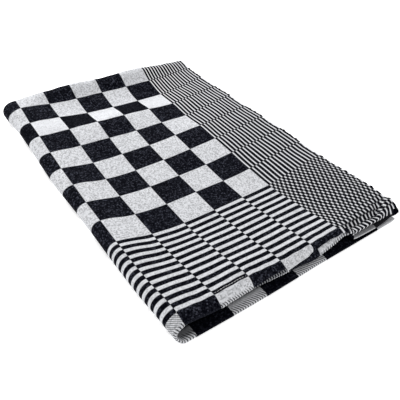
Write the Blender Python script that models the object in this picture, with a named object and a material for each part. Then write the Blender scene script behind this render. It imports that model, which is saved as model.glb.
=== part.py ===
"""A checked cotton tea towel, folded in quarters and lying on a table.

The towel is one cloth. It is folded in half along its length, so that both hems meet at the front,
and then in half across its width, so that both selvages meet at the right. Four layers lie on each
other: the top layer and the table layer share the soft left fold, and each has a loop of its own
at the back, which leads to one of the two inner layers.

The face side of the cloth is one grid of points, and Solidify gives it its thickness towards the
reverse side. A point of the grid is found in two steps: the cloth's length gives the distance to
the back and the depth under the outer layer, and the cloth's width then gives the place along the
section, which runs over the top, round the left fold and back along the table.

Metres, X to the right along the front edge, Y to the back, Z up. The origin is the centre of the
bounding box, on the table.
"""

import math
from collections import namedtuple

import bpy
import numpy as np

MM = 0.001

# The cloth, measured flat.
BLOCK_WIDTH = 0.0306  # one block of the check, across the cloth
BLOCK_LENGTH = 0.02875  # one block of the check, along the cloth
BLOCKS_ACROSS = 11
BLOCKS_ALONG = 18
SIDE_BORDER = 0.0627  # fine stripes, from the outermost block to the selvage
END_BORDER = 0.0805  # broad stripes, from the outermost block to the hem
HEM_DEPTH = 0.0095
CLOTH_WIDTH = BLOCKS_ACROSS * BLOCK_WIDTH + 2 * SIDE_BORDER
CLOTH_LENGTH = BLOCKS_ALONG * BLOCK_LENGTH + 2 * (END_BORDER + HEM_DEPTH)

# The sheet.
CLOTH_THICKNESS = 1.0 * MM
HEM_THICKNESS = 2.2 * MM  # the cloth turned in twice
HEM_STEP = 1.5 * MM  # the hem's thickness is reached within this length

# Two layers that share a loop at the back make a pair.
PAIR_SHARE = 0.44  # a pair's depth from face to face, as a share of the whole stack's height
TURN_ROOM = 2.0 * MM  # what the left fold leaves free inside the inner layers' turn
TURN_ROOM_SLOPE = 0.35  # how fast a pair may deepen beside the left fold
LOOP_REACH = 7.0 * MM  # from the loop's centre line to the back edge
LOOP_CLOTH = 11.5 * MM  # the cloth in a quarter turn of the loop

# Height of the top layer over the table, in millimetres, along eight lines that run from back to
# front. A row stands for a section across the towel, so many block rows in front of the line where
# the first whole row begins.
Section = namedtuple("Section", "row fold block_1 block_2 block_3 block_4 block_5 border selvage")
SECTIONS = (
    Section(-0.6, 21.5, 24.0, 24.0, 23.5, 23.0, 22.5, 20.5, 18.0),
    Section(0.0, 21.4, 18.1, 15.6, 14.4, 13.8, 13.3, 14.2, 15.3),
    Section(1.0, 19.3, 15.3, 11.5, 9.5, 8.3, 7.8, 11.2, 15.3),
    Section(2.0, 17.9, 16.2, 15.0, 13.5, 11.8, 9.6, 12.5, 15.6),
    Section(3.0, 15.5, 12.3, 10.7, 9.5, 8.8, 8.7, 12.5, 15.9),
    Section(4.0, 14.2, 9.4, 7.4, 7.5, 8.7, 10.4, 13.2, 15.9),
    Section(5.5, 15.0, 8.2, 5.8, 6.0, 7.3, 9.6, 13.2, 16.3),
    Section(7.0, 17.2, 8.9, 5.8, 5.8, 5.8, 7.5, 12.3, 16.5),
    Section(8.0, 17.9, 9.5, 5.8, 5.8, 5.8, 7.0, 12.0, 16.5),
    Section(9.5, 17.2, 12.0, 9.8, 8.8, 9.0, 9.2, 13.0, 16.5),
    Section(10.8, 16.0, 15.0, 15.0, 13.2, 13.8, 13.5, 14.5, 15.5),
    Section(11.12, 14.5, 13.5, 13.5, 12.2, 12.6, 12.6, 13.5, 14.0),
)
SECTION_LINES_AT = (0, 1, 2, 3, 4, 5, 6, 7.05)  # in blocks from the fold's crest line

# Where the edges run, in millimetres, at the same kind of section. fold_reach is how far the left
# fold stands out from its crest. crest, selvage and table_selvage are how far the crest and the two
# outer selvages have slid to the right. back_at_fold and back_at_selvage are how far the table
# layer lies behind the top layer.
Drift = namedtuple("Drift", "row fold_reach crest selvage table_selvage back_at_fold back_at_selvage")
DRIFTS = (
    Drift(-0.6, 10.5, -1.2, -3.0, 1.0, 12.0, 5.0),
    Drift(0.0, 11.3, -1.2, -3.2, 0.5, 12.0, 5.0),
    Drift(1.0, 11.2, -1.2, -3.6, 1.0, 8.0, 4.0),
    Drift(2.0, 11.0, -1.2, -2.4, 2.0, 4.5, 3.0),
    Drift(4.0, 11.0, -1.2, -1.4, 1.5, 3.0, 2.0),
    Drift(6.0, 8.3, -1.2, 0.0, 3.0, 3.0, 2.0),
    Drift(8.0, 7.3, -0.8, 0.5, 2.5, 3.0, 2.0),
    Drift(9.5, 7.3, 1.0, 3.6, 3.5, 1.0, 2.0),
    Drift(10.8, 7.6, 3.4, 4.6, 4.0, -2.0, 1.5),
    Drift(11.12, 6.8, 3.6, 3.6, 3.6, -2.5, 1.5),
)

# How far the inner layers end behind the outer ones, at the fold and at the selvage end of each
# hem, and how far inside the outer selvage theirs lies.
UPPER_INNER_HEM_BACK = (6.0 * MM, -1.0 * MM)
LOWER_INNER_HEM_BACK = (5.0 * MM, 4.0 * MM)
INNER_HEM_FROM = 8.0  # in rows: from here on the inner hems fall behind
INNER_SELVAGE_IN = (2.5 * MM, 6.0 * MM)  # of the upper and of the lower inner layer

# The grid: how many steps each stretch of the cloth has.
STEPS_ALONG_OUTER_LAYER = 24
STEPS_ALONG_INNER_LAYER = 16
STEPS_ROUND_LOOP = 8
STEPS_ACROSS_TOP = 15
STEPS_ROUND_FOLD = 10
STEPS_ACROSS_TABLE = 7

COTTON_COLOUR = (0.42, 0.42, 0.43, 1.0)  # the check's black and white, seen from far off
COTTON_ROUGHNESS = 0.9


def smooth_curve(at, knots, values):
    """A smooth curve through the values that never swings past them between two knots."""
    knots, values = np.asarray(knots, float), np.asarray(values, float)
    widths = np.diff(knots)
    slopes = np.diff(values) / widths
    tangents = np.zeros_like(values)
    rising = slopes[:-1] * slopes[1:] > 0
    before, after = 2 * widths[1:] + widths[:-1], widths[1:] + 2 * widths[:-1]
    with np.errstate(divide="ignore", invalid="ignore"):
        mean = (before + after) / (before / slopes[:-1] + after / slopes[1:])
    tangents[1:-1] = np.where(rising, mean, 0.0)
    at = np.clip(at, knots[0], knots[-1])
    left = np.clip(np.searchsorted(knots, at) - 1, 0, len(widths) - 1)
    width = widths[left]
    t = (at - knots[left]) / width
    return (
        values[left] * (1 + 2 * t) * (1 - t) ** 2
        + tangents[left] * width * t * (1 - t) ** 2
        + values[left + 1] * t**2 * (3 - 2 * t)
        + tangents[left + 1] * width * t**2 * (t - 1)
    )


def smooth_step(value):
    value = np.clip(value, 0.0, 1.0)
    return value**2 * (3 - 2 * value)


def blend(ends, part):
    """Between the two ends, by the part of the way."""
    return ends[0] + (ends[1] - ends[0]) * part


def drift(name, row):
    """One column of the drift table at a row, in metres."""
    rows = [line.row for line in DRIFTS]
    return smooth_curve(row, rows, [getattr(line, name) for line in DRIFTS]) * MM


def top_height(x, row):
    """Height of the top layer's face over the table."""
    rows = [section.row for section in SECTIONS]
    lines = [smooth_curve(row, rows, column) for column in list(zip(*SECTIONS))[1:]]
    knots = np.array(SECTION_LINES_AT) * BLOCK_WIDTH
    return smooth_curve(np.array([x]), knots, [float(line) for line in lines])[0] * MM


def pair_depth(row, from_crest, height):
    """From the outer face of a pair of layers to its inner face."""
    room = drift("fold_reach", row) - TURN_ROOM + TURN_ROOM_SLOPE * from_crest
    return min(PAIR_SHARE * height, room)


def length_stations():
    """Distances along the cloth from the middle of the back loop, from the front hem of the outer
    layer (positive) to the front hem of the inner layer (negative)."""
    end = CLOTH_LENGTH / 2
    hem = [0.0, HEM_DEPTH - HEM_STEP, HEM_DEPTH]
    outer = np.linspace(end - HEM_DEPTH, LOOP_CLOTH, STEPS_ALONG_OUTER_LAYER + 1)
    loop = np.linspace(LOOP_CLOTH, -LOOP_CLOTH, STEPS_ROUND_LOOP + 1)
    inner = np.linspace(-LOOP_CLOTH, HEM_DEPTH - end, STEPS_ALONG_INNER_LAYER + 1)
    front = [end - step for step in hem[:2]]
    back = [step - end for step in hem[1::-1]]
    return np.concatenate([front, outer, loop[1:], inner[1:], back])


def along(length):
    """Distance behind the first row line, and the share of the pair's depth, at a place along
    the cloth."""
    centre = BLOCK_LENGTH - LOOP_CLOTH  # one block row lies behind the first row line
    if abs(length) <= LOOP_CLOTH:
        turn = length / LOOP_CLOTH * math.pi / 2
        return centre + LOOP_REACH * math.cos(turn), (1 - math.sin(turn)) / 2
    return centre - (abs(length) - LOOP_CLOTH), 0.0 if length > 0 else 1.0


def section_points(length):
    """Points of the face side at one place along the cloth, from the selvage of the upper layer
    over the top, round the left fold and along the table to the other selvage."""
    back, share = along(length)
    row = -back / BLOCK_LENGTH
    crest, reach = drift("crest", row), drift("fold_reach", row)
    right = CLOTH_WIDTH / 2 - BLOCK_WIDTH / 2  # the fold halves the middle block
    top_selvage = right + drift("selvage", row) - INNER_SELVAGE_IN[0] * share
    table_selvage = right + drift("table_selvage", row) - INNER_SELVAGE_IN[1] * share
    back_at_fold, back_at_selvage = drift("back_at_fold", row), drift("back_at_selvage", row)
    inner = (length < -LOOP_CLOTH) * smooth_step(
        (row - INNER_HEM_FROM) / (SECTIONS[-1].row - INNER_HEM_FROM)
    )

    def upper_back(part):
        return back + inner * blend(UPPER_INNER_HEM_BACK, part)

    def lower_back(part):
        table_back = blend((back_at_fold, back_at_selvage), part)
        return back + table_back + inner * blend(LOWER_INNER_HEM_BACK, part)

    points = []
    for step in range(STEPS_ACROSS_TOP):
        part = 1 - step / STEPS_ACROSS_TOP
        from_crest = (top_selvage - crest) * part
        height = top_height(from_crest, row)
        depth = share * pair_depth(row, from_crest, height)
        points.append((crest + from_crest, upper_back(part), height - depth))
    height = top_height(0.0, row)
    depth = share * pair_depth(row, 0.0, height)
    for step in range(STEPS_ROUND_FOLD + 1):
        part = step / STEPS_ROUND_FOLD
        turn = math.pi * part
        x = crest - (reach - depth) * math.sin(turn)
        z = height / 2 + (height / 2 - depth) * math.cos(turn)
        y = blend((upper_back(0.0), lower_back(0.0)), smooth_step(part))
        points.append((x, y, z))
    for step in range(1, STEPS_ACROSS_TABLE + 1):
        part = step / STEPS_ACROSS_TABLE
        from_crest = (table_selvage - crest) * part
        depth = share * pair_depth(row, from_crest, top_height(from_crest, row))
        points.append((crest + from_crest, lower_back(part), depth))
    return points


def centred(points):
    """The points moved so that the middle of their bounding box is the origin, on the table."""
    low, high = points.min(axis=0), points.max(axis=0)
    return points - [(low[0] + high[0]) / 2, (low[1] + high[1]) / 2, low[2]]


def cotton():
    material = bpy.data.materials.new("checked_cotton")
    material.use_nodes = True
    shader = material.node_tree.nodes["Principled BSDF"]
    shader.inputs["Base Color"].default_value = COTTON_COLOUR
    shader.inputs["Roughness"].default_value = COTTON_ROUGHNESS
    shader.inputs["Metallic"].default_value = 0.0
    return material


def face_mesh(stations):
    """The face side of the cloth as a grid of quads whose normals point out of the face."""
    rows = [section_points(length) for length in stations]
    across = len(rows[0])
    points = centred(np.array(rows).reshape(-1, 3))
    quads = []
    for row in range(len(rows) - 1):
        for column in range(across - 1):
            corner = row * across + column
            quads.append((corner, corner + across, corner + across + 1, corner + 1))
    mesh = bpy.data.meshes.new("towel")
    mesh.from_pydata(points.tolist(), [], quads)
    mesh.shade_smooth()
    return mesh, across


def towel():
    stations = length_stations()
    mesh, across = face_mesh(stations)
    mesh.materials.append(cotton())
    cloth = bpy.data.objects.new("towel", mesh)
    bpy.context.scene.collection.objects.link(cloth)
    hem = cloth.vertex_groups.new(name="hem")
    inside_hem = CLOTH_LENGTH / 2 - HEM_DEPTH + HEM_STEP / 2
    for number, length in enumerate(stations):
        vertices = list(range(number * across, (number + 1) * across))
        hem.add(vertices, 1.0 if abs(length) > inside_hem else 0.0, "REPLACE")
    thickness = cloth.modifiers.new("thickness", "SOLIDIFY")
    thickness.thickness = HEM_THICKNESS
    thickness.offset = -1.0
    thickness.vertex_group = hem.name
    thickness.thickness_vertex_group = CLOTH_THICKNESS / HEM_THICKNESS
    return cloth


for old in list(bpy.data.objects):
    bpy.data.objects.remove(old)
towel()
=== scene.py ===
# %% [markdown]
# # A checked tea towel, folded in quarters
#
# The object is a cotton kitchen towel with a black and white counterchange check. It lies folded
# in quarters on a white table. This lesson rebuilds it around a rigid model of the same folds,
# which is loaded first and sets the size and the place of everything.
#
# The plan:

# %% The frame
import math
from collections import namedtuple

import bpy
import numpy as np
from mathutils import Matrix, Vector


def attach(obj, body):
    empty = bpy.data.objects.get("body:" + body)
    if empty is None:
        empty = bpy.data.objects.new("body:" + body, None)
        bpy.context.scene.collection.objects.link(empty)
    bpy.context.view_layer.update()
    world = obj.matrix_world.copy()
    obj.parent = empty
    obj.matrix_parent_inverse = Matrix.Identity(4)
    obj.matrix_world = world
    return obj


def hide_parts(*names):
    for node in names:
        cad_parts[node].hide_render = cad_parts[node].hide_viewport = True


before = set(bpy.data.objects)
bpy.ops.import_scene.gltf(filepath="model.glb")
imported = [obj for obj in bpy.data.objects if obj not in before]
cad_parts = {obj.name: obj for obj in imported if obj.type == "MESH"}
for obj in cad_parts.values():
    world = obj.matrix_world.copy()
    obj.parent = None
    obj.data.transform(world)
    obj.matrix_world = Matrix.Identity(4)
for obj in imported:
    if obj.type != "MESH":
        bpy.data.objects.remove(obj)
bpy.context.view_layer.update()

for name in ("Cube", "Light", "Camera"):
    if name in bpy.data.objects:
        bpy.data.objects.remove(bpy.data.objects[name])

# %% [markdown]
# ## The camera
#
# The photograph looks down on the towel from its front left. The corners of 54 blocks of the
# check were enough to solve for the camera: where it stands, which way it looks and how long its
# lens is. It could also be placed by eye, but a check shows every mistake in perspective.
#
# The folds are laid out from a convenient corner of the check, and the rigid model has its
# origin in the middle of its box. `ORIGIN` is that middle, seen from the corner of the check.

# %% The camera
MM = 0.001
ORIGIN = Vector((0.1039, -0.1431, 0.0))
CAMERA_PLACE = Vector((-0.0869, -0.4699, 0.2738))
CAMERA_AZIMUTH = math.radians(-34.32)
CAMERA_ELEVATION = math.radians(40.69)
CAMERA_ROLL = math.radians(1.2)
LENS_MM = 41.86
SENSOR_MM = 36.0
SEEN_FROM = 0.01  # metres before the lens

camera = bpy.data.objects.new("camera", bpy.data.cameras.new("camera"))
bpy.context.scene.collection.objects.link(camera)
bpy.context.scene.camera = camera
camera.data.lens = LENS_MM
camera.data.sensor_width = SENSOR_MM
camera.data.clip_start = SEEN_FROM
looks_along = Vector((
    -math.sin(CAMERA_AZIMUTH) * math.cos(CAMERA_ELEVATION),
    math.cos(CAMERA_AZIMUTH) * math.cos(CAMERA_ELEVATION),
    -math.sin(CAMERA_ELEVATION),
))
turn = looks_along.to_track_quat("-Z", "Y").to_matrix() @ Matrix.Rotation(CAMERA_ROLL, 3, "Z")
camera.matrix_world = Matrix.Translation(CAMERA_PLACE - ORIGIN) @ turn.to_4x4()
print("The camera stands at", [round(value, 3) for value in camera.location])

# %% [markdown]
# ## The flat cloth
#
# Before it was folded, the towel was a plain rectangle. Eleven blocks of the check lie side by
# side between two borders of fine stripes, and eighteen lie end to end between two borders of
# broader stripes. A hem closes each end. Every place on the cloth has two numbers: `u` runs
# across it from its middle, and `v` runs along it from its middle. The towel is folded on
# exactly those two middle lines.

# %% The cloth's measures
BLOCK_WIDTH = 30.6 * MM
BLOCK_LENGTH = 28.75 * MM
BLOCKS_ACROSS = 11
BLOCKS_ALONG = 18
SIDE_BORDER = 62.7 * MM
END_BORDER = 80.5 * MM
HEM_DEPTH = 9.5 * MM
FINE_STRIPE = SIDE_BORDER / 30
BROAD_STRIPE = END_BORDER / 22
CLOTH_WIDTH = BLOCKS_ACROSS * BLOCK_WIDTH + 2 * SIDE_BORDER
CLOTH_LENGTH = BLOCKS_ALONG * BLOCK_LENGTH + 2 * (END_BORDER + HEM_DEPTH)
CLOTH_THICKNESS = 1.0 * MM
HEM_THICKNESS = 2.2 * MM
print(f"Flat, the towel is {CLOTH_WIDTH * 1000:.0f} by {CLOTH_LENGTH * 1000:.1f} mm")

# %% [markdown]
# ## The folds
#
# A cloth simulation would drape the towel in its own way, and no run of it would land on the
# photograph's ridges and hollows. Two tables do: one holds the height of the top layer on a few
# lines, and the other says how far each edge has slid. A smooth curve that never overshoots runs
# through every column.
#
# A row of the tables is counted in blocks, towards the front, from the first line of the check
# in front of the back fold. Places across are counted from the crest of the left fold.

# %% The tables of the folds
Section = namedtuple("Section", "row fold block_1 block_2 block_3 block_4 block_5 border selvage")
SECTIONS = (  # a row, then heights in millimetres
    Section(-0.6, 21.5, 24.0, 24.0, 23.5, 23.0, 22.5, 20.5, 18.0),
    Section(0.0, 21.4, 18.1, 15.6, 14.4, 13.8, 13.3, 14.2, 15.3),
    Section(1.0, 19.3, 15.3, 11.5, 9.5, 8.3, 7.8, 11.2, 15.3),
    Section(2.0, 17.9, 16.2, 15.0, 13.5, 11.8, 9.6, 12.5, 15.6),
    Section(3.0, 15.5, 12.3, 10.7, 9.5, 8.8, 8.7, 12.5, 15.9),
    Section(4.0, 14.2, 9.4, 7.4, 7.5, 8.7, 10.4, 13.2, 15.9),
    Section(5.5, 15.0, 8.2, 5.8, 6.0, 7.3, 9.6, 13.2, 16.3),
    Section(7.0, 17.2, 8.9, 5.8, 5.8, 5.8, 7.5, 12.3, 16.5),
    Section(8.0, 17.9, 9.5, 5.8, 5.8, 5.8, 7.0, 12.0, 16.5),
    Section(9.5, 17.2, 12.0, 9.8, 8.8, 9.0, 9.2, 13.0, 16.5),
    Section(10.8, 18.0, 15.0, 14.5, 12.4, 13.6, 13.8, 14.6, 16.4),
    Section(11.12, 16.5, 13.5, 13.2, 11.6, 12.6, 12.6, 13.6, 14.8),
)
SECTION_LINES_AT = (0, 1, 2, 3, 4, 5, 6, 7.05)  # blocks from the crest

Drift = namedtuple(
    "Drift", "row fold_reach crest border selvage table_selvage back_at_fold back_at_selvage"
)
DRIFTS = (  # a row, then millimetres
    Drift(-0.6, 14.6, -1.2, 1.9, -3.0, 1.0, 12.0, 5.0),
    Drift(0.0, 14.0, -1.2, 1.9, -3.2, 0.5, 12.0, 5.0),
    Drift(1.0, 11.2, -1.2, 1.7, -3.6, 1.0, 8.0, 4.0),
    Drift(2.0, 11.0, -1.2, 0.8, -2.4, 2.0, 4.5, 3.0),
    Drift(4.0, 11.0, -1.2, 0.2, -1.4, 1.5, 3.0, 2.0),
    Drift(6.0, 8.3, -1.2, -0.3, 0.0, 3.0, 3.0, 2.0),
    Drift(8.0, 7.3, -0.8, 0.3, 0.5, 2.5, 3.0, 2.0),
    Drift(9.5, 7.3, 1.0, 3.2, 3.6, 3.5, 1.0, 2.0),
    Drift(10.8, 7.8, 4.0, 4.6, 4.8, 4.0, -2.2, 0.6),
    Drift(11.12, 7.0, 4.2, 4.0, 7.2, 3.6, -2.8, 0.6),
)
print(len(SECTIONS), "height rows and", len(DRIFTS), "drift rows")


# %% A smooth curve through a table
def smooth_curve(at, knots, values):
    """A smooth curve through the values that never swings past them between two knots."""
    knots, values = np.asarray(knots, float), np.asarray(values, float)
    widths = np.diff(knots)
    slopes = np.diff(values) / widths
    tangents = np.zeros_like(values)
    rising = slopes[:-1] * slopes[1:] > 0
    before, after = 2 * widths[1:] + widths[:-1], widths[1:] + 2 * widths[:-1]
    with np.errstate(divide="ignore", invalid="ignore"):
        mean = (before + after) / (before / slopes[:-1] + after / slopes[1:])
    tangents[1:-1] = np.where(rising, mean, 0.0)
    at = np.clip(at, knots[0], knots[-1])
    left = np.clip(np.searchsorted(knots, at) - 1, 0, len(widths) - 1)
    width = widths[left]
    t = (at - knots[left]) / width
    return (
        values[left] * (1 + 2 * t) * (1 - t) ** 2
        + tangents[left] * width * t * (1 - t) ** 2
        + values[left + 1] * t**2 * (3 - 2 * t)
        + tangents[left + 1] * width * t**2 * (t - 1)
    )


def smooth_step(value):
    value = np.clip(value, 0.0, 1.0)
    return value**2 * (3 - 2 * value)


def between(value, limits):
    """0 up to the first limit, 1 from the second and smooth between them."""
    return smooth_step((value - limits[0]) / (limits[1] - limits[0]))


def blend(ends, part):
    return ends[0] + (ends[1] - ends[0]) * part


def drift(column, row):
    rows = [line.row for line in DRIFTS]
    return float(smooth_curve(row, rows, [getattr(line, column) for line in DRIFTS])) * MM


def top_height(from_crest, row):
    """Height of the top layer over the table, at distances from the fold's crest."""
    rows = [section.row for section in SECTIONS]
    lines = [float(smooth_curve(row, rows, column)) for column in list(zip(*SECTIONS))[1:]]
    knots = np.array(SECTION_LINES_AT) * BLOCK_WIDTH
    return smooth_curve(np.atleast_1d(from_crest), knots, lines) * MM


hollow = top_height(2 * BLOCK_WIDTH, 7.0)[0]
print(f"In the middle of the left half the towel is {hollow / MM:.1f} mm high")

# %% [markdown]
# ## One section at a time
#
# The cloth's length decides how far back a section lies and how deep it is under the outer
# layer. Its width then runs from the right edge over the top, round the soft left fold and back
# along the table. Each point also keeps its `u`, so that the check knows where it is woven.
#
# At the back, the cloth turns from an outer layer to an inner one round a small loop. The inner
# layer lies a share of the height away from the outer one, as far as the left fold has room.

# %% From an outer layer to an inner one
LOOP_REACH = 7.0 * MM
LOOP_CLOTH = 11.5 * MM
PAIR_SHARE = 0.44
TURN_ROOM = 2.0 * MM
TURN_ROOM_SLOPE = 0.35


def along(length):
    """How far back a place on the cloth lies, with 0 in an outer layer and 1 in an inner one."""
    centre = BLOCK_LENGTH - LOOP_CLOTH
    if abs(length) <= LOOP_CLOTH:
        turn = length / LOOP_CLOTH * math.pi / 2
        return centre + LOOP_REACH * math.cos(turn), (1 - math.sin(turn)) / 2
    return centre - (abs(length) - LOOP_CLOTH), 0.0 if length > 0 else 1.0


def pair_depth(row, from_crest, height, share_of_height=PAIR_SHARE):
    """How far apart an outer layer and its inner one lie."""
    room = drift("fold_reach", row) - TURN_ROOM + TURN_ROOM_SLOPE * from_crest
    return np.minimum(share_of_height * height, room)


print(f"A loop takes up {2 * LOOP_CLOTH / MM:.0f} mm of cloth")

# %% [markdown]
# ## The dip and the hem
#
# The front edge holds most of the detail of the folds. On its right half the border dips before
# the hem, and a crease runs into the corner. The hem itself turns down, or rises first and then
# rolls over. A table gives it on a few lines across the cloth: how far it has slid forward, how
# steeply it rises, how far it turns, and between which depths.

# %% The dip in front of a hem
SEAM_AT = CLOTH_LENGTH / 2 - HEM_DEPTH
VALLEY_DEPTH = 3.6 * MM
VALLEY_REACH = 5.0 * MM
VALLEY_BLOCKS = (5.08, 5.45)  # blocks from the crest, as in the next pairs
VALLEY_FADES = (6.4, 7.1)
VALLEY_LEFT = 0.05  # share of its depth at the selvage
VALLEY_INSIDE = 0.5  # share of its depth on the inner layers
CREASE_BLOCKS = (6.2, 7.2)
CREASE_FROM = (6.05, 6.4)
CREASE_BACK = 9.0 * MM
CREASE_DEPTH = 2.2 * MM
CREASE_WIDTH = 2.2 * MM
CREASE_LEFT = 0.3  # share of its depth at the selvage


def past_valley(length, from_crest):
    """Cloth between the valley and here. The valley is the seam, but a crease in the corner."""
    wider = CREASE_BACK * between(from_crest / BLOCK_WIDTH, CREASE_BLOCKS)
    return abs(length) - SEAM_AT + wider, wider


def valley(length, from_crest):
    """How far the border dips in front of its hem."""
    blocks = from_crest / BLOCK_WIDTH
    across = between(blocks, VALLEY_BLOCKS)
    across *= 1 - (1 - VALLEY_LEFT) * between(blocks, VALLEY_FADES)
    past = past_valley(length, from_crest)[0]
    crease = between(blocks, CREASE_FROM) * np.exp(-((past / CREASE_WIDTH) ** 2))
    crease *= 1 - (1 - CREASE_LEFT) * between(blocks, (CREASE_FROM[1], SECTION_LINES_AT[-1]))
    return VALLEY_DEPTH * across * smooth_step(1 + past / VALLEY_REACH) + CREASE_DEPTH * crease


print(f"The deepest dip is {valley(SEAM_AT, 5.6 * BLOCK_WIDTH) / MM:.1f} mm")

# %% A hem that turns down
HemShape = namedtuple("HemShape", "blocks forward rise turn turn_from turn_to length")
HEM_SHAPES = (  # blocks from the crest, millimetres, radians, radians, then three in millimetres
    HemShape(0.0, -0.8, 0.0, 0.1, 0.0, 9.5, 9.3),
    HemShape(0.6, -0.4, 0.0, 0.2, 0.0, 9.5, 9.3),
    HemShape(1.0, -0.3, 0.0, 0.5, 0.0, 9.5, 9.1),
    HemShape(2.0, -1.0, 0.0, 1.0, 0.0, 9.5, 9.1),
    HemShape(2.5, -1.0, 0.0, 0.6, 0.0, 9.5, 8.6),
    HemShape(3.0, -1.0, 0.1, 0.35, 0.0, 9.5, 8.4),
    HemShape(3.3, -1.0, 0.0, 0.4, 0.0, 9.5, 7.4),
    HemShape(3.6, -1.0, 0.0, 1.0, 0.0, 9.5, 7.4),
    HemShape(3.85, -1.0, 0.0, 1.6, 0.8, 9.5, 8.6),
    HemShape(4.02, -1.0, 0.0, 2.5, 2.0, 9.5, 9.2),
    HemShape(4.6, -1.5, 0.35, 2.7, 2.8, 8.5, 8.0),
    HemShape(4.8, -1.5, 0.6, 2.2, 3.0, 8.5, 7.8),
    HemShape(5.0, -2.0, 0.9, 1.2, 2.0, 8.5, 6.2),
    HemShape(5.17, 1.5, 0.9, 1.4, 5.0, 8.0, 9.0),
    HemShape(5.5, 2.2, 0.4, 2.2, 5.0, 6.5, 9.5),
    HemShape(6.2, 2.5, 0.35, 2.3, 5.0, 6.5, 9.5),
    HemShape(6.7, 3.0, 0.3, 1.8, -1.0, 5.0, 9.5),
    HemShape(7.05, 3.0, 0.3, 1.2, -7.0, 3.0, 9.5),
)
INNER_HEM_SHAPES = (
    HemShape(0.0, 0.0, 0.0, 0.0, 0.0, 9.5, 9.5),
    HemShape(3.6, 0.0, 0.0, 0.1, 0.0, 9.5, 9.5),
    HemShape(4.0, 0.0, 0.55, 1.6, 0.0, 9.5, 9.5),
    HemShape(4.7, 0.0, 0.9, 1.4, 0.0, 9.5, 9.5),
    HemShape(5.2, 0.0, 1.2, 1.4, 0.0, 9.5, 9.5),
    HemShape(5.33, 0.0, 0.2, 0.4, 0.0, 9.5, 9.5),
    HemShape(7.05, 0.0, 0.0, 0.2, 0.0, 9.5, 9.5),
)
HEM_TURN_STEPS = 24
SLIDE_REACH = 4 * BROAD_STRIPE


def turned_hem(length, from_crest, back, height, shapes):
    """Back and height of an upper hem, which may rise from its valley before it turns down."""
    knots, *columns = zip(*shapes)
    forward, rise, turn, turn_from, turn_to, hem_length = (
        smooth_curve(from_crest / BLOCK_WIDTH, knots, column) for column in columns
    )
    past, wider = past_valley(length, from_crest)
    past = np.maximum(past, 0.0)
    step = past / HEM_TURN_STEPS
    taken_up = hem_length * MM / HEM_DEPTH
    out, up = np.zeros_like(past), np.zeros_like(past)
    for number in range(HEM_TURN_STEPS):
        turned = (step * (number + 0.5) - wider) / MM
        angle = rise - turn * np.clip((turned - turn_from) / (turn_to - turn_from), 0.0, 1.0)
        out += taken_up * step * np.cos(angle)
        up += taken_up * step * np.sin(angle)
    slide = forward * MM * smooth_step(1 + (abs(length) - SEAM_AT) / SLIDE_REACH)
    return back + past - out - slide, height + up


print(len(HEM_SHAPES), "lines shape the top hem and", len(INNER_HEM_SHAPES), "the one under it")

# %% A section across the towel
FOLD_CREST_U = 14.1 * MM  # the cloth's middle line lies this far down the fold from its crest
FOLD_FOOT_U = ((0.0, 15.0), (4.0, 13.0), (8.0, 8.0), (11.12, 6.7))  # row, millimetres
FOLD_SHIFTS_FROM = 0.6  # share of the turn, seen from above
TABLE_BLOCK_SQUEEZE = 1.008
TABLE_HEM_BULGE = 0.9 * MM  # forward, on the lowest hem
TABLE_HEM_BULGES_TO = 4.0 * BLOCK_WIDTH
TABLE_HEM_BULGE_ROWS = (9.5, 11.0)
UPPER_INNER_HEM_BACK = (  # blocks from the crest, millimetres behind the top hem
    (0.0, 8.0), (1.0, 7.0), (1.8, 5.0), (2.5, 3.5), (3.6, 3.0), (4.0, 2.7), (5.0, 3.4),
    (5.4, 1.2), (6.2, 1.0), (7.05, 2.5),
)
LOWER_INNER_HEM_BACK = (9.0 * MM, 9.0 * MM)  # at the fold, at the selvage
INNER_HEM_FROM = 8.0  # the row from which an inner layer lies further back
INNER_BORDER_SHIFT = 6.5 * MM
INNER_SELVAGE_IN = (2.5 * MM, 6.0 * MM)  # upper layer, lower layer
PRESSED = 0.1  # share of the height, where the top hem curls over the inner one
PRESSED_BLOCKS = (2.6, 3.6)
PRESSED_ROWS = (10.0, 10.8)
Steps = namedtuple("Steps", "top fold table layer front loop hem")
CLOTH_STEPS = Steps(top=72, fold=22, table=50, layer=116, front=18, loop=18, hem=10)


def under_curl(row, from_crest):
    """1 under the curled part of the top hem, where the inner hem is pressed down."""
    return between(from_crest / BLOCK_WIDTH, PRESSED_BLOCKS) * between(row, PRESSED_ROWS)


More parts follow.
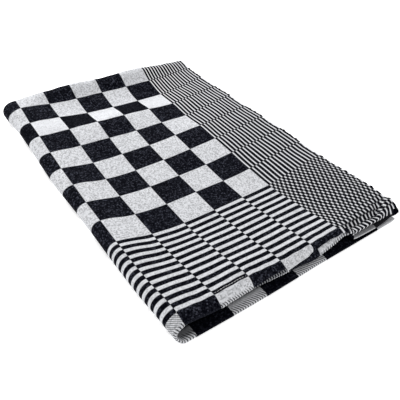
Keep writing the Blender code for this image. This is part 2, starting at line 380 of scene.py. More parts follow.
def section(length, steps):
    """Points (x, y, z) and the cloth's u of one section, right edge first."""
    back, share = along(length)
    row = -back / BLOCK_LENGTH
    crest, reach = drift("crest", row), drift("fold_reach", row)
    right = CLOTH_WIDTH / 2 - BLOCK_WIDTH / 2
    top_selvage = right + drift("selvage", row) - INNER_SELVAGE_IN[0] * share
    table_selvage = right + drift("table_selvage", row) - INNER_SELVAGE_IN[1] * share
    table_back = (drift("back_at_fold", row), drift("back_at_selvage", row))
    inner = (length < -LOOP_CLOTH) * between(row, (INNER_HEM_FROM, SECTIONS[-1].row))

    # from the right edge over the top
    part = 1 - np.arange(steps.top) / steps.top
    run = (top_selvage - crest) * part
    height = top_height(run, row)
    hem_back = smooth_curve(run / BLOCK_WIDTH, *zip(*UPPER_INNER_HEM_BACK)) * MM
    upper_back = back + inner * hem_back
    depth = pair_depth(row, run, height, PAIR_SHARE + PRESSED * under_curl(row, run))
    top_z = height - share * depth - valley(length, run) * blend((1.0, VALLEY_INSIDE), share)
    if share in (0.0, 1.0):
        shapes = INNER_HEM_SHAPES if share else HEM_SHAPES
        upper_back, top_z = turned_hem(length, run, upper_back, top_z, shapes)
    top = np.stack([crest + run, upper_back, top_z], 1)
    border_at = 5 * BLOCK_WIDTH + drift("border", row) - crest + inner * INNER_BORDER_SHIFT
    top_u = np.interp(
        run,
        [0.0, border_at, top_selvage - crest],
        [FOLD_CREST_U, CLOTH_WIDTH / 2 - SIDE_BORDER, CLOTH_WIDTH / 2],
    )

    # round the left fold
    part = np.arange(steps.fold + 1) / steps.fold
    height = top_height(0.0, row)[0]
    depth = share * pair_depth(row, 0.0, height)
    upper = back + inner * UPPER_INNER_HEM_BACK[0][1] * MM
    lower = back + table_back[0] + inner * LOWER_INNER_HEM_BACK[0]
    fold_x = crest - (reach - depth) * np.sin(math.pi * part)
    fold_y = blend((upper, lower), between(part, (FOLD_SHIFTS_FROM, 1.0)))
    fold_z = height / 2 + (height / 2 - depth) * np.cos(math.pi * part)
    fold = np.stack([fold_x, fold_y, fold_z], 1)
    rows, foots = zip(*FOLD_FOOT_U)
    foot_u = -float(smooth_curve(row, rows, foots)) * MM
    fold_u = blend((FOLD_CREST_U, foot_u), part)

    # back along the table
    part = np.arange(1, steps.table + 1) / steps.table
    run = (table_selvage - crest) * part
    lower_back = back + blend(table_back, part) + inner * blend(LOWER_INNER_HEM_BACK, part)
    bulge = np.sin(math.pi * np.minimum(run / TABLE_HEM_BULGES_TO, 1.0))
    lower_back -= TABLE_HEM_BULGE * bulge * between(row, TABLE_HEM_BULGE_ROWS) * (1 - share)
    depth = pair_depth(row, run, top_height(run, row))
    table_z = share * (depth - valley(length, run) * VALLEY_INSIDE)
    table = np.stack([crest + run, lower_back, table_z], 1)
    border_u = -(CLOTH_WIDTH / 2 - SIDE_BORDER)
    border_at = (foot_u - border_u) * TABLE_BLOCK_SQUEEZE
    table_u = np.interp(
        run, [0.0, border_at, table_selvage - crest], [foot_u, border_u, -CLOTH_WIDTH / 2]
    )
    return np.concatenate([top, fold, table]), np.concatenate([top_u, fold_u, table_u])


middle_section, middle_u = section(CLOTH_LENGTH / 4, CLOTH_STEPS)
print(len(middle_section), "points in a section, from u =", middle_u[0], "to", middle_u[-1])

# %% [markdown]
# ## The whole face side
#
# Sections stand 2.6 mm apart, about half of that near the front edge and in the loop at the
# back, and closest in the hems. The cloth is not quite smooth: it keeps soft waves from the
# wash, it puckers along its sewn hems, and its selvages ripple. The waves are a share of the
# height and the rest fades out at the table, so that the layers keep clear of each other and the
# lowest one stays down.

# %% The grid of the face side
SOFT_WAVES = (  # share of the height, millimetres from wave to wave, direction in degrees, phase
    (0.020, 61.0, 24.0, 0.3),
    (0.016, 43.0, 118.0, 1.9),
    (0.010, 27.0, 71.0, 4.0),
    (0.008, 19.0, 160.0, 2.2),
)
HEM_PUCKER = 0.35 * MM
HEM_PUCKER_EVERY = 13.0 * MM
LIFTED_AT = 5.0 * MM  # puckers and ripples are full above this height
SELVAGE_RIPPLE = 0.5 * MM
SELVAGE_RIPPLES = ((9.3 * MM, 0.4), (5.9 * MM, 2.1))  # from ripple to ripple, and a phase
RIPPLE_REACH = 3.0 * MM
RIPPLE_SIDEWAYS = 0.6  # share of its height
FRONT_ZONE = 27.0 * MM  # of closer sections behind the hem


def length_stations(steps):
    end = CLOTH_LENGTH / 2
    hem = np.linspace(end, end - HEM_DEPTH, steps.hem + 1)
    front_ends = end - HEM_DEPTH - FRONT_ZONE
    front = np.linspace(end - HEM_DEPTH, front_ends, steps.front + 1)[1:]
    layer = np.concatenate([front, np.linspace(front_ends, LOOP_CLOTH, steps.layer + 1)[1:]])
    loop = np.linspace(LOOP_CLOTH, -LOOP_CLOTH, steps.loop + 1)[1:]
    return np.concatenate([hem, layer, loop, -layer[-2::-1], -hem[::-1]])


def soft_waves(points):
    waves = np.zeros(points.shape[:-1])
    for share, pitch, direction, phase in SOFT_WAVES:
        angle = math.radians(direction)
        distance = points[..., 0] * math.cos(angle) + points[..., 1] * math.sin(angle)
        waves += share * np.sin(2 * math.pi * distance / (pitch * MM) + phase)
    return waves


def face_grid(steps):
    """Face points (sections, places, 3), and the cloth's u and v of each."""
    lengths = length_stations(steps)
    made = [section(length, steps) for length in lengths]
    points = np.array([one[0] for one in made])
    u = np.array([one[1] for one in made])
    v = np.repeat(lengths[:, None], u.shape[1], 1)
    from_hem = CLOTH_LENGTH / 2 - np.abs(v)
    at_seam = np.exp(-((from_hem / HEM_DEPTH - 1) ** 2))
    pucker = HEM_PUCKER * np.sin(2 * math.pi * u / HEM_PUCKER_EVERY) * at_seam
    lift = smooth_step(points[..., 2] / LIFTED_AT)
    near_selvage = np.exp(-(CLOTH_WIDTH / 2 - np.abs(u)) / RIPPLE_REACH)
    ripple = sum(np.sin(2 * math.pi * v / every + phase) for every, phase in SELVAGE_RIPPLES)
    ripple *= SELVAGE_RIPPLE / 2 * near_selvage
    points[..., 2] += points[..., 2] * soft_waves(points) + lift * (pucker + ripple)
    points[..., 0] += ripple * RIPPLE_SIDEWAYS
    return points - np.array(ORIGIN), u, v


face, cloth_u, cloth_v = face_grid(CLOTH_STEPS)
print("Sections and places:", face.shape[:2])

# %% [markdown]
# ## From a face to a cloth
#
# The Solidify modifier would give the grid its thickness, but it leaves square edges. The real
# edges are round: the hems are turned over twice, and the selvages are closed by the weft where
# it turns back. So the mesh is written here as one closed skin: the face side, the reverse side,
# and a half-round rim between them. Each corner of the mesh stores its place on the flat cloth in
# an attribute, with 1 for the face side and 0 for the reverse side.

# %% The cloth's mesh
RIM_STEPS = 4
HEM_STEP = 1.5 * MM  # of cloth over which a hem's thickness begins
SHORTEST = 1e-12


def unit(vectors):
    return vectors / np.maximum(np.linalg.norm(vectors, axis=-1, keepdims=True), SHORTEST)


def grid_normals(points):
    along_v, along_u = np.gradient(points, axis=0), np.gradient(points, axis=1)
    return unit(np.cross(along_v, along_u))


def grid_ring(rows, columns):
    """The grid's outer points in order, clockwise seen from the face."""
    first = [(0, column) for column in range(columns)]
    second = [(row, columns - 1) for row in range(1, rows)]
    third = [(rows - 1, column) for column in range(columns - 2, -1, -1)]
    fourth = [(row, 0) for row in range(rows - 2, 0, -1)]
    return np.array(first + second + third + fourth)


def outward(points, ring):
    """At each point of the ring, the direction that leaves the cloth in its own plane."""
    inner = np.clip(ring, 1, np.array(points.shape[:2]) - 2)
    edge = points[ring[:, 0], ring[:, 1]]
    return unit(edge - points[inner[:, 0], inner[:, 1]])


def cloth_thickness(v):
    from_edge = CLOTH_LENGTH / 2 - np.abs(v)
    turned = 1 - smooth_step((from_edge - HEM_DEPTH + HEM_STEP) / HEM_STEP)
    return CLOTH_THICKNESS + (HEM_THICKNESS - CLOTH_THICKNESS) * turned


def cloth_skin(face, u, v):
    rows, columns = u.shape
    normals = grid_normals(face)
    thickness = cloth_thickness(v)
    reverse = face - normals * thickness[..., None]
    count = rows * columns
    places = [face.reshape(-1, 3), reverse.reshape(-1, 3)]
    weave = [
        np.stack([u, v, np.ones_like(u)], -1).reshape(-1, 3),
        np.stack([u, v, np.zeros_like(u)], -1).reshape(-1, 3),
    ]
    number = np.arange(count).reshape(rows, columns)
    corners = [number[:-1, :-1], number[1:, :-1], number[1:, 1:], number[:-1, 1:]]
    quads = np.stack(corners, -1).reshape(-1, 4)
    faces = [quads, quads[:, ::-1] + count]

    ring = grid_ring(rows, columns)
    at = ring[:, 0], ring[:, 1]
    out, edge, normal, thick = outward(face, ring), face[at], normals[at], thickness[at][:, None]
    loops = [number[at]]
    for step in range(1, RIM_STEPS):
        turn = math.pi * step / RIM_STEPS
        rim = edge - normal * thick * (1 - math.cos(turn)) / 2 + out * thick / 2 * math.sin(turn)
        loops.append(2 * count + (step - 1) * len(ring) + np.arange(len(ring)))
        places.append(rim)
        side = np.full(len(ring), 1 - step / RIM_STEPS)
        weave.append(np.stack([u[at], v[at], side], -1))
    loops.append(number[at] + count)
    for one, other in zip(loops, loops[1:]):
        faces.append(np.stack([one, np.roll(one, -1), np.roll(other, -1), other], -1))
    return np.concatenate(places), np.concatenate(faces), np.concatenate(weave)


def linked(name, mesh, weave=None):
    """An object on a mesh, which may store each point's place on the flat cloth."""
    if weave is not None:
        attribute = mesh.attributes.new("cloth", "FLOAT_VECTOR", "POINT")
        attribute.data.foreach_set("vector", weave.astype(np.float32).ravel())
    made = bpy.data.objects.new(name, mesh)
    bpy.context.scene.collection.objects.link(made)
    return made


def mesh_object(name, points, faces, weave=None):
    mesh = bpy.data.meshes.new(name)
    mesh.from_pydata(points.tolist(), [], faces.tolist())
    mesh.shade_smooth()
    return linked(name, mesh, weave)


towel = mesh_object("tea_towel", *cloth_skin(face, cloth_u, cloth_v))
print("The towel has", len(towel.data.polygons), "faces")

# %% [markdown]
# ## Sums in a material
#
# A woven check is arithmetic: which column, which row, and is their sum even. Wiring that by hand
# takes hundreds of lines. A small class wraps a socket, so that `column + row` adds an Add node,
# and `1 - mask` adds a Subtract node.

# %% A wire that can be calculated with
class Wire:
    """A value on its way through a tree of nodes."""

    def __init__(self, tree, socket=None):
        self.tree, self.socket = tree, socket

    def node(self, kind, settings=(), sockets=(), output=0):
        """Any node: its type, its settings, then the values or links of its sockets."""
        made = self.tree.nodes.new(kind)
        for key, value in dict(settings).items():
            setattr(made, key, value)
        for key, value in dict(sockets).items():
            if isinstance(value, Wire):
                self.tree.links.new(value.socket, made.inputs[key])
            else:
                made.inputs[key].default_value = value
        return Wire(self.tree, made.outputs[output])

    def sum(self, operation, *values):
        return self.node("ShaderNodeMath", {"operation": operation}, dict(enumerate(values)))

    def __add__(self, other):
        return self.sum("ADD", self, other)

    def __radd__(self, other):
        return self.sum("ADD", other, self)

    def __sub__(self, other):
        return self.sum("SUBTRACT", self, other)

    def __rsub__(self, other):
        return self.sum("SUBTRACT", other, self)

    def __mul__(self, other):
        return self.sum("MULTIPLY", self, other)

    def __rmul__(self, other):
        return self.sum("MULTIPLY", other, self)

    def __truediv__(self, other):
        return self.sum("DIVIDE", self, other)

    def __rtruediv__(self, other):
        return self.sum("DIVIDE", other, self)

    def __mod__(self, other):
        return self.sum("FLOORED_MODULO", self, other)

    def __pow__(self, other):
        return self.sum("POWER", self, other)

    def __gt__(self, other):
        return self.sum("GREATER_THAN", self, other)

    def __lt__(self, other):
        return self.sum("LESS_THAN", self, other)

    def __abs__(self):
        return self.sum("ABSOLUTE", self)

    def floor(self):
        return self.sum("FLOOR", self)

    def sine(self):
        return self.sum("SINE", self)

    def least(self, other):
        return self.sum("MINIMUM", self, other)

    def most(self, other):
        return self.sum("MAXIMUM", self, other)

    def ramp(self, low, high):
        """0 at low, 1 at high and smooth between them."""
        return self.node(
            "ShaderNodeMapRange",
            {"interpolation_type": "SMOOTHSTEP"},
            {"Value": self, "From Min": low, "From Max": high},
        )

    def pick(self, if_zero, if_one):
        """A number between two numbers or wires, by this wire."""
        return if_zero + (if_one - if_zero) * self

    def colour(self, if_zero, if_one):
        """A colour between two colours, by this wire."""
        sockets = {0: self, 6: if_zero, 7: if_one}
        return self.node("ShaderNodeMix", {"data_type": "RGBA"}, sockets, 2)


def new_material(name):
    """A material with a plain Principled shader, its first wire and the shader's sockets."""
    material = bpy.data.materials.new(name)
    material.use_nodes = True
    shader = material.node_tree.nodes["Principled BSDF"]
    return material, Wire(material.node_tree), shader


def feed(wire, socket):
    wire.tree.links.new(wire.socket, socket)


print("A wire works in materials and in Geometry Nodes")

# %% [markdown]
# ## The check
#
# The cloth is a satin damask. Where the white threads float on the face, the black ones float on
# the reverse, so the two sides show the same check with its colours exchanged. In the borders the
# blocks become stripes: 2.1 mm wide across the cloth and 3.7 mm along it. Where the two borders
# cross, they make the small checks of the corners.
#
# The sides of the towel mirror each other about its middle. The material needs only the distance
# from the middle, and one exchange of colours for the far half.

# %% A place on the flat cloth
HALF_CHECK = BLOCKS_ACROSS / 2 * BLOCK_WIDTH
HALF_CHECK_LENGTH = BLOCKS_ALONG / 2 * BLOCK_LENGTH

material, wire, shader = new_material("checked_cotton")
place = wire.node("ShaderNodeAttribute", {"attribute_name": "cloth"}, output=1)
parts = place.node("ShaderNodeSeparateXYZ", sockets={0: place}).socket.node.outputs
u, v, side = (Wire(material.node_tree, part) for part in parts)

face_side = side > 0.5
far_half = v < 0.0
turned_v = abs(v)
in_hem = turned_v > (CLOTH_LENGTH / 2 - HEM_DEPTH)
print("Across, along and side come from", [part.name for part in parts])

# %% Columns, rows and the exchange of colours
FURROW = 0.35 * MM
FURROW_IN_BORDER = 1.25 * MM
FURROW_IN_STRIPES = 0.5 * MM  # in the broad stripes


def to_line(number):
    """How far a number is from the nearest whole one."""
    return 0.5 - abs(number % 1.0 - 0.5)


def stripe_number(distance, block, blocks_end, stripe, first):
    """Which block or stripe a distance from the middle falls in, and how near its edge is."""
    in_blocks = distance / block - first
    past_blocks = (distance - blocks_end) / stripe
    border = distance > blocks_end
    number = border.pick(in_blocks.floor(), past_blocks.floor() + (blocks_end / block - first))
    from_edge = border.pick(to_line(in_blocks) * block, to_line(past_blocks) * stripe)
    return number, from_edge


column, column_edge = stripe_number(
    abs(u).least(CLOTH_WIDTH / 2 - FINE_STRIPE / 2), BLOCK_WIDTH, HALF_CHECK, FINE_STRIPE, 0.5
)
stripe_row, row_edge = stripe_number(
    turned_v.least(CLOTH_LENGTH / 2 - HEM_DEPTH + BROAD_STRIPE / 2),
    BLOCK_LENGTH, HALF_CHECK_LENGTH, BROAD_STRIPE, 1.0,
)
exchanged = (1 - face_side) * (1 - in_hem)
white = (column + stripe_row + far_half + exchanged) % 2.0
in_border = abs(u) > HALF_CHECK
in_stripes = (turned_v > HALF_CHECK_LENGTH) * (1 - in_hem)
furrow_width = in_border.pick(in_stripes.pick(FURROW, FURROW_IN_STRIPES), FURROW_IN_BORDER)
# the furrow darkens white at a block's edge: partly the black threads, partly painted shade
furrow = (column_edge.least(row_edge) / furrow_width).ramp(0.0, 1.0)
print("A furrow is", FURROW / MM, "mm wide between blocks")

# %% [markdown]
# ## Threads
#
# Up close the satin is a field of floating threads, tied down by the other colour at every fifth
# crossing. Those ties are the specks that make the white blocks look like fine grey flannel and
# the black ones like slate. Neighbouring ties run together, so most specks are larger than one
# tie. Where the cloth bends away at the back, the floats close over them. White threads dive
# under black ones at the edge of a block, which leaves a furrow; the white is darkened there,
# partly by the black threads and partly by painted shade.

# %% Threads and ties
THREAD = 0.52 * MM
SATIN_ENDS = 5.0
SATIN_STEP = 2.0
MOTTLE_SCALE = 420.0

warp = (u / THREAD).floor()
weft = (v / THREAD).floor()
tie = ((warp * SATIN_STEP + weft) % SATIN_ENDS) < 0.5
cell = wire.node("ShaderNodeCombineXYZ", sockets={0: warp, 1: weft, 2: 0.0})
chance = wire.node("ShaderNodeTexWhiteNoise", {"noise_dimensions": "3D"}, {"Vector": cell})
warp_line = wire.node("ShaderNodeTexWhiteNoise", {"noise_dimensions": "1D"}, {"W": warp})
weft_line = wire.node("ShaderNodeTexWhiteNoise", {"noise_dimensions": "1D"}, {"W": weft + 0.5})
mottle = wire.node(
    "ShaderNodeTexNoise", {"noise_dimensions": "3D"},
    {"Vector": place, "Scale": MOTTLE_SCALE, "Detail": 2.0, "Roughness": 0.6},
)
print("One tie in", int(SATIN_ENDS), "crossings")

# %% Specks
CLUSTER = 1.1 * MM
CLUSTER_WANDER = 0.8
CLUSTER_POWER = (5.0, 1.6)  # on black, on white: the higher, the fewer specks
LONE_TIE = 0.35
CLOSES_AT = (1.6 * BLOCK_LENGTH, 2.3 * BLOCK_LENGTH)
OPENS_AT = (2.7 * BLOCK_LENGTH, 3.3 * BLOCK_LENGTH)
CLOSED_SHARE = 0.55
FEWER_IN_BORDER = 0.7
FEWER_IN_STRIPES = 0.5  # of the border's share
FEWER_INSIDE = 0.6
SPECK_ON_BLACK, SPECK_ON_WHITE = 0.078, 0.5

clusters = wire.node("ShaderNodeCombineXYZ", sockets={
    0: (u / CLUSTER + mottle * CLUSTER_WANDER).floor(),
    1: (v / CLUSTER - mottle * CLUSTER_WANDER).floor(),
    2: side,
})
cluster = wire.node("ShaderNodeTexWhiteNoise", {"noise_dimensions": "3D"}, {"Vector": clusters})
closed = turned_v.ramp(*CLOSES_AT) * (1 - turned_v.ramp(*OPENS_AT)) * CLOSED_SHARE
open_ties = (tie * chance * LONE_TIE + cluster ** white.pick(*CLUSTER_POWER)).least(1.0)
striped = in_border.most(in_stripes * FEWER_IN_STRIPES) * FEWER_IN_BORDER
inside = in_hem * (1 - face_side) * (v > 0.0) * FEWER_INSIDE
specks = open_ties * (1 - closed) * (1 - striped) * (1 - inside)
speck = white.pick(specks * SPECK_ON_BLACK, specks * SPECK_ON_WHITE)
print("A cluster of ties is", CLUSTER / MM, "mm wide")

# %% [markdown]
# ## Ribs, and painted shade in bands and in the fold
#
# Where the cloth is bent over a hem, the floats open and the ties line up as slanting ribs. On
# the front left corner the ribs cover the whole block. The lower layers' hems at the side border
# end in plain bands of painted shade and shadow, with a painted highlight on a rim, and the
# inside of the fold is darkened by painted shade.

# %% Where the front edge differs
TIP_SIZE = 4.5 * MM

from_hem = CLOTH_LENGTH / 2 - turned_v
top_quarter = (u > 0.0) * (v > 0.0)
top_face = top_quarter * face_side
blocks_out = abs(u) / BLOCK_WIDTH
in_fold = blocks_out < 0.5
rim = 1 - abs(side * 2 - 1)
corner_tip = (u > CLOTH_WIDTH / 2 - TIP_SIZE) * (v > CLOTH_LENGTH / 2 - TIP_SIZE)


def in_column(number):
    return (blocks_out > number - 0.5) * (blocks_out < number + 0.5)


print("The black tip of the corner is", TIP_SIZE / MM, "mm wide")

# %% Ribs
RIB_PITCH = 2.2 * MM
RIB_SLANT = 0.6
RIB_EDGES = (-0.1, 0.5)  # of a wave, from the gap to the rib
RIB_DEPTH = 0.9
RIB_REACH = (6.5 * MM, 2.6 * MM)  # on the lowest layer, on the others
SECOND_REACH = 1.0 * MM  # on the layer under the top one
RIBS_FADE = (0.4, 1.0)  # shares of the reach
CORNER_RIB_PITCH = 1.62 * MM
CORNER_RIB_EDGES = (-0.3, 0.6)
CORNER_RIB_DEPTH = 0.65
CORNER_RIM = 1.2 * MM


def waves(distance, pitch):
    return (distance * (2 * math.pi / pitch)).sine()


slant_v = face_side.pick(CLOTH_LENGTH / 2 + from_hem, turned_v)  # runs on round the rim
corner_block = in_fold * in_hem * face_side * (from_hem > CORNER_RIM)
edge_ribs = waves(u - slant_v * RIB_SLANT, RIB_PITCH).ramp(*RIB_EDGES)
corner_ribs = waves(u - slant_v, CORNER_RIB_PITCH).ramp(*CORNER_RIB_EDGES)
reach = (u > 0.0).most(in_fold * face_side).pick(*RIB_REACH)
reach = ((u > 0.0) * far_half).pick(reach, SECOND_REACH)
at_edge = 1 - (from_hem / reach).ramp(*RIBS_FADE)
at_edge = at_edge * (1 - in_border) * (1 - top_face * in_column(4))
rib = corner_block.pick(edge_ribs * at_edge * RIB_DEPTH, corner_ribs * CORNER_RIB_DEPTH)
print("Ribs stand", RIB_PITCH / MM, "mm apart")

# %% Grey ribs on a black hem
GREY_COLUMN = 3
GREY_SLANT = 0.1
GREY_GROWS = (2.65, 3.0)  # blocks from the middle
GREY_REACH = (0.3 * MM, 1.3 * MM)
GREY_FADES = (0.6, 1.1)  # shares of the reach
GREY_RIBS = 0.3

steep_ribs = waves(u + from_hem * GREY_SLANT, RIB_PITCH).ramp(*RIB_EDGES)
grey_reach = blocks_out.ramp(*GREY_GROWS).pick(*GREY_REACH)
at_grey_edge = 1 - (from_hem / grey_reach).ramp(*GREY_FADES)
grey_rib = top_face * in_column(GREY_COLUMN) * in_hem * steep_ribs * at_grey_edge * GREY_RIBS
print("Grey ribs reach", GREY_REACH[1] / MM, "mm up the black block")

# %% Painted shade, shadow and highlight in bands on the lower hems
FIRST_BAND = 4.5 * MM  # past the edge of the check, as the next two
# the grey band is painted shade on the upper inner hem, the black band painted shadow on the
# lower ones
GREY_SHADE_BAND = 33.0 * MM
BLACK_SHADOW_BAND = 36.0 * MM
# painted shade: the upper hem's grey, paler towards its outer edge, with a painted highlight on
# its rim
UPPER_SHADE_GREY = 0.04
UPPER_LESS_SHADE = 0.14  # added at the outer edge
UPPER_FADES = 7.0 * MM
RIM_PAINTED_HIGHLIGHT = 0.3
RIM_BEGINS = (0.2, 0.7)
# near black beyond the grey band is painted shadow; the lower hems are black painted shadow up to
# the black band, then plain grey
UPPER_END = 0.01
LOWER_END = 0.42

# the lower layers' hems at the side border are painted with shade and shadow in place of their
# stripes
at_outer_edge = 1 - from_hem.ramp(0.0, UPPER_FADES)
upper_painted_shade = UPPER_SHADE_GREY + at_outer_edge * UPPER_LESS_SHADE + rim.ramp(*RIM_BEGINS) * RIM_PAINTED_HIGHLIGHT
upper_painted_shade = (abs(u) > HALF_CHECK + GREY_SHADE_BAND).pick(upper_painted_shade, UPPER_END)
upper_painted_shade = upper_painted_shade * (abs(u) > HALF_CHECK + FIRST_BAND)
lower_painted_shadow = (abs(u) > HALF_CHECK + BLACK_SHADOW_BAND).pick(0.0, LOWER_END)
band = (u > 0.0).pick(lower_painted_shadow, upper_painted_shade)
in_painted_shade_band = in_hem * in_border * (1 - top_quarter)
# the grey band is the painted shade on the upper inner hem
print("The grey band is", round((GREY_SHADE_BAND - FIRST_BAND) / MM, 1), "mm long")

# %% Painted shade inside the fold
# painted shade on the inside of the fold, and deeper painted shade on the lowest hem under the
# upper ones; in the fold it fades towards the lit rim
PAINTED_INSIDE_SHADE = (0.15, 0.75)  # away from the fold, and in it
PAINTED_DEEPER_SHADE = 0.4  # added where the hem lies under the upper ones
DEEPER_FROM = (0.35, 0.95)  # shares of the hem's depth
LIT_RIM = (0.5 * MM, 3.5 * MM)

inside_fold = (1 - face_side) * in_hem * (v > 0.0) * in_fold.most(u < 0.0)
painted_deeper_shade = (from_hem / HEM_DEPTH).ramp(*DEEPER_FROM) * PAINTED_DEEPER_SHADE * (1 - in_fold)
past_rim = 1 - in_fold * (1 - from_hem.ramp(*LIT_RIM))
painted_inside_shade = (in_fold.pick(*PAINTED_INSIDE_SHADE) * past_rim + painted_deeper_shade) * inside_fold
# how much of the white the painted shade darkens in the fold
print("In the fold", PAINTED_INSIDE_SHADE[1], "of the white is hidden")

# %% Colour, roughness and relief
WHITE_COTTON = (0.76, 0.77, 0.8, 1.0)
BLACK_COTTON = (0.0008, 0.001, 0.0028, 1.0)
TIED_WHITE = (0.66, 0.7, 0.92, 1.0)  # white threads seen deep between black ones
STRIPE_WHITE = (0.94, 0.95, 0.98, 1.0)  # the fine stripes, where the floats lie closest
STRIPES_LIGHTER = 1.2
TONE = 0.92
TONE_OF_MOTTLE = 0.1
TONE_OF_THREAD = 0.03
BAND_TONE = (0.8, 1.2)  # over the specks of a band
GREY_SEEN = 0.02
BLACK_ROUGHNESS, WHITE_ROUGHNESS = 0.82, 0.9
FLOAT_RISES, FURROW_RISES, MOTTLE_RISES = 0.5, 0.8, 0.8
TIE_SINKS, RIB_SINKS = 0.6, 1.0
RELIEF_HEIGHT = 0.12 * MM
RELIEF_STRENGTH = 0.6
COTTON_SHINE = 0.01

# the furrow's darkening of white is partly painted shade
shade = (white * furrow).pick(speck, 1 - speck)
# the inside of the fold is darkened here by painted shade
ribbed = (shade * (1 - rib * white) * (1 - painted_inside_shade)).most(grey_rib * (1 - white))
# in the bands, painted shade, shadow and a painted highlight replace the weave
bands = in_painted_shade_band.pick(ribbed, band * cluster.pick(*BAND_TONE)) * (1 - corner_tip)
tone = TONE + mottle * TONE_OF_MOTTLE + (warp_line + weft_line) * TONE_OF_THREAD
lightness = bands.least(1.0) * tone * in_border.pick(1.0, STRIPES_LIGHTER)
plain = white.most(in_painted_shade_band).most(grey_rib > GREY_SEEN)
cotton = plain.colour(TIED_WHITE, in_border.colour(WHITE_COTTON, STRIPE_WHITE))
feed(lightness.colour(BLACK_COTTON, cotton), shader.inputs["Base Color"])
feed(white.pick(BLACK_ROUGHNESS, WHITE_ROUGHNESS), shader.inputs["Roughness"])
floats = white.pick(waves(u, THREAD), waves(v, THREAD)) * FLOAT_RISES
relief = floats + furrow * FURROW_RISES - tie * TIE_SINKS
relief = relief + mottle * MOTTLE_RISES - rib * RIB_SINKS
bump = wire.node("ShaderNodeBump", sockets={
    "Strength": RELIEF_STRENGTH, "Distance": RELIEF_HEIGHT, "Height": relief,
})
feed(bump, shader.inputs["Normal"])
shader.inputs["Specular IOR Level"].default_value = COTTON_SHINE
towel.data.materials.append(material)
print("The check has", len(material.node_tree.nodes), "nodes")

# %% [markdown]
# ## Sewing the hems
#
# Each hem is closed by one row of lockstitch, 2.5 mm to the stitch, just behind the hem's
# blocks. A stitch is the same on every few millimetres of a line, which is what Geometry Nodes
# are good at: the line is a strip of points on the cloth, and the tree sets a short fat thread
# on each stretch of it.

# %% A tree that sews along a line
def stitch_tree():
    tree = bpy.data.node_groups.new("stitches", "GeometryNodeTree")
    sockets = {}
    for name, kind, value in (
        ("Line", "NodeSocketGeometry", None),
        ("Stitch Length", "NodeSocketFloat", 2.5 * MM),
        ("Thread Width", "NodeSocketFloat", 0.38 * MM),
        ("Gap", "NodeSocketFloat", 0.2 * MM),
        ("Wander", "NodeSocketFloat", 0.12),
        ("Seed", "NodeSocketInt", 7),
        ("Thread", "NodeSocketMaterial", None),
    ):
        made = tree.interface.new_socket(name, in_out="INPUT", socket_type=kind)
        if value is not None:
            made.default_value = value
        sockets[name] = made.identifier
    tree.interface.new_socket("Stitches", in_out="OUTPUT", socket_type="NodeSocketGeometry")
    given = tree.nodes.new("NodeGroupInput")
    wire = Wire(tree)
    get = {name: Wire(tree, given.outputs[name]) for name in sockets}
    curve = wire.node("GeometryNodeMeshToCurve", sockets={"Mesh": get["Line"]})
    points = wire.node(
        "GeometryNodeCurveToPoints", {"mode": "LENGTH"},
        {"Curve": curve, "Length": get["Stitch Length"]},
    )
    turns = Wire(tree, points.socket.node.outputs["Rotation"])
    ball = wire.node(
        "GeometryNodeMeshUVSphere", sockets={"Segments": 8, "Rings": 6, "Radius": 0.5}
    )
    size = wire.node("ShaderNodeCombineXYZ", sockets={
        0: get["Thread Width"], 1: get["Thread Width"], 2: get["Stitch Length"] - get["Gap"],
    })
    chance = wire.node(
        "FunctionNodeRandomValue", {"data_type": "FLOAT_VECTOR"},
        {"Min": (-1.0, -1.0, -1.0), "Max": (1.0, 1.0, 1.0), "Seed": get["Seed"]},
    )
    wander = wire.node(
        "ShaderNodeVectorMath", {"operation": "SCALE"}, {0: chance, "Scale": get["Wander"]}
    )
    tilt = wire.node("FunctionNodeEulerToRotation", sockets={0: wander})
    turned = wire.node(
        "FunctionNodeRotateRotation", {"rotation_space": "LOCAL"}, {0: turns, 1: tilt}
    )
    placed = wire.node(
        "GeometryNodeInstanceOnPoints",
        sockets={"Points": points, "Instance": ball, "Rotation": turned, "Scale": size},
    )
    real = wire.node("GeometryNodeRealizeInstances", sockets={"Geometry": placed})
    smooth = wire.node("GeometryNodeSetShadeSmooth", sockets={"Geometry": real})
    finished = wire.node(
        "GeometryNodeSetMaterial", sockets={"Geometry": smooth, "Material": get["Thread"]}
    )
    feed(finished, tree.nodes.new("NodeGroupOutput").inputs[0])
    return tree, sockets


stitches_tree, stitch_sockets = stitch_tree()
print("Inputs of the tree:", list(stitch_sockets))

# %% The lines to sew along
SEAM_BEYOND = 1.5 * MM  # behind the hem's blocks, in the last broad stripe
THREAD_RAISED = (-0.3 * MM, 0.08 * MM)  # drawn in, and loose on the second column
LOOSE_AT = 2 * BLOCK_WIDTH
LOOSE_REACH = 0.45 * BLOCK_WIDTH


def seam_lines(face, u, v):
    """A line of points for each hem and each side of the cloth, and each point's weave."""
    normals, thickness = grid_normals(face), cloth_thickness(v)
    lines = []
    for sign in (1, -1):
        seam_v = sign * (CLOTH_LENGTH / 2 - HEM_DEPTH - SEAM_BEYOND)
        order = np.argsort(v[:, 0])
        places = np.array([
            [np.interp(seam_v, v[order, 0], face[order, place, axis]) for axis in range(3)]
            for place in range(u.shape[1])
        ])
        row = int(np.argmin(np.abs(v[:, 0] - seam_v)))
        out = normals[row]
        loose = np.exp(-(((np.abs(u[row]) - LOOSE_AT) / LOOSE_REACH) ** 4))
        raised = blend(THREAD_RAISED, loose)[:, None]
        weave = np.stack([u[row], np.full(u.shape[1], seam_v), np.ones(u.shape[1])], 1)
        lines.append((places + out * raised, weave))
        lines.append((places - out * (thickness[row][:, None] + raised), weave))
    return lines


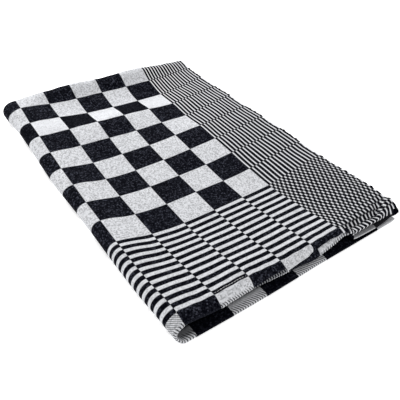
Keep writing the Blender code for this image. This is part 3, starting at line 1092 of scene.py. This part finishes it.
def line_object(name, lines):
    points, weave = (np.concatenate(each) for each in zip(*lines))
    edges, start = [], 0
    for line, _ in lines:
        edges += [(start + step, start + step + 1) for step in range(len(line) - 1)]
        start += len(line)
    mesh = bpy.data.meshes.new(name)
    mesh.from_pydata(points.tolist(), edges, [])
    return linked(name, mesh, weave)


def grown(source, tree, values, name):
    """The plain mesh that a tree makes on an object, in place of both."""
    modifier = source.modifiers.new("grow", "NODES")
    modifier.node_group = tree
    for identifier, value in values.items():
        modifier[identifier] = value
    graph = bpy.context.evaluated_depsgraph_get()
    mesh = bpy.data.meshes.new_from_object(source.evaluated_get(graph))
    source.modifiers.remove(modifier)
    bpy.data.objects.remove(source)
    mesh.name = name
    return linked(name, mesh)


seams = seam_lines(face, cloth_u, cloth_v)
print(len(seams), "lines to sew along, of", len(seams[0][0]), "points each")

# %% The sewing thread and the stitches
THREAD_SHADED = (0.5, 0.5, 0.5, 1.0)
THREAD_LIT = (0.78, 0.78, 0.78, 1.0)
TWIST_SCALE = 2600.0
TWIST_HEIGHT = 0.08 * MM
TWIST_STRENGTH = 0.4
THREAD_ROUGHNESS = 0.7

thread_material, thread_wire, thread_shader = new_material("sewing_thread")
grain = thread_wire.node("ShaderNodeTexCoord", output=3)
twist = thread_wire.node(
    "ShaderNodeTexNoise", {"noise_dimensions": "3D"},
    {"Vector": grain, "Scale": TWIST_SCALE, "Detail": 1.0},
)
twist_bump = thread_wire.node("ShaderNodeBump", sockets={
    "Strength": TWIST_STRENGTH, "Distance": TWIST_HEIGHT, "Height": twist,
})
feed(twist.colour(THREAD_SHADED, THREAD_LIT), thread_shader.inputs["Base Color"])
feed(twist_bump, thread_shader.inputs["Normal"])
thread_shader.inputs["Roughness"].default_value = THREAD_ROUGHNESS
stitches = grown(
    line_object("hem_lines", seams),
    stitches_tree,
    {stitch_sockets["Thread"]: thread_material},
    "hem_stitches",
)
print("The stitches have", len(stitches.data.polygons), "faces")

# %% [markdown]
# ## The selvages
#
# At each side of the cloth the weft turns round the last warp thread and runs back. That leaves a
# row of tiny loops, which make the edge look beaded. The same tree sets them: one fat, short
# loop to a turn. The line carries the weave's places, so every loop is dyed like the cloth
# beside it.

# %% The selvage loops
LOOP_OUT = 0.42  # share of the thickness by which a loop stands out
LOOP_INPUTS = {
    "Stitch Length": 1.05 * MM,
    "Thread Width": 0.95 * MM,
    "Gap": 0.25 * MM,
    "Wander": 0.3,
    "Seed": 11,
    "Thread": material,
}


def selvage_lines(face, u, v):
    """A line of points down the middle of each selvage, and each point's weave."""
    normals, thickness = grid_normals(face), cloth_thickness(v)
    lines = []
    for column, inner in ((0, 1), (-1, -2)):
        thick = thickness[:, column][:, None]
        out = unit(face[:, column] - face[:, inner])
        places = face[:, column] - normals[:, column] * thick / 2 + out * thick * LOOP_OUT
        lines.append((places, np.stack([u[:, column], v[:, column], np.ones(len(u))], 1)))
    return lines


loops = grown(
    line_object("selvage_lines", selvage_lines(face, cloth_u, cloth_v)),
    stitches_tree,
    {stitch_sockets[name]: value for name, value in LOOP_INPUTS.items()},
    "selvage_loops",
)
print("The loops have", len(loops.data.polygons), "faces")

# %% [markdown]
# ## The table and the light
#
# The photograph is a cut-out on white: the light is broad and even, and no shadow falls beside
# the towel. A bright plain floor under a bright sky comes close. One large soft lamp behind the
# towel gives the folds their slopes.

# %% The table
FLOOR_SIZE = 6.0
FLOOR_DOWN = 0.2 * MM  # under the lowest layer
FLOOR_WHITE = (0.95, 0.95, 0.95, 1.0)
FLOOR_GLOW = 0.5

floor = mesh_object(
    "floor",
    np.array([(-1, -1, 0), (1, -1, 0), (1, 1, 0), (-1, 1, 0)], float) * FLOOR_SIZE / 2,
    np.array([(0, 1, 2, 3)]),
)
floor.data.transform(Matrix.Translation((0, 0, -FLOOR_DOWN)))
floor_material, _, floor_shader = new_material("white_table")
floor_shader.inputs["Base Color"].default_value = FLOOR_WHITE
floor_shader.inputs["Roughness"].default_value = 1.0
floor_shader.inputs["Specular IOR Level"].default_value = 0.0
floor_shader.inputs["Emission Color"].default_value = (1.0, 1.0, 1.0, 1.0)
floor_shader.inputs["Emission Strength"].default_value = FLOOR_GLOW
floor.data.materials.append(floor_material)
print("The table is", FLOOR_SIZE, "m wide")

# %% The light
SKY = 0.85
LAMP_ENERGY = 5.6
LAMP_SIZE = 0.5
LAMP_FROM = Vector((0.0, 0.75, 0.42))

world = bpy.data.worlds.new("studio")
bpy.context.scene.world = world
world.use_nodes = True
sky = world.node_tree.nodes["Background"].inputs
sky["Color"].default_value = (1.0, 1.0, 1.0, 1.0)
sky["Strength"].default_value = SKY
lamp = bpy.data.objects.new("soft_lamp", bpy.data.lights.new("soft_lamp", "AREA"))
bpy.context.scene.collection.objects.link(lamp)
lamp.data.size = LAMP_SIZE
lamp.data.energy = LAMP_ENERGY
lamp.location = LAMP_FROM
lamp.rotation_mode = "QUATERNION"
lamp.rotation_quaternion = (-LAMP_FROM).to_track_quat("-Z", "Y")
bpy.context.scene.view_settings.view_transform = "Standard"
print("Lamp and sky are on")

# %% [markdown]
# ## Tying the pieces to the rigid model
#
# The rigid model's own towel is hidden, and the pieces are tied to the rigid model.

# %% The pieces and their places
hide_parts("towel")
for piece in (towel, stitches, loops):
    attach(piece, "root")
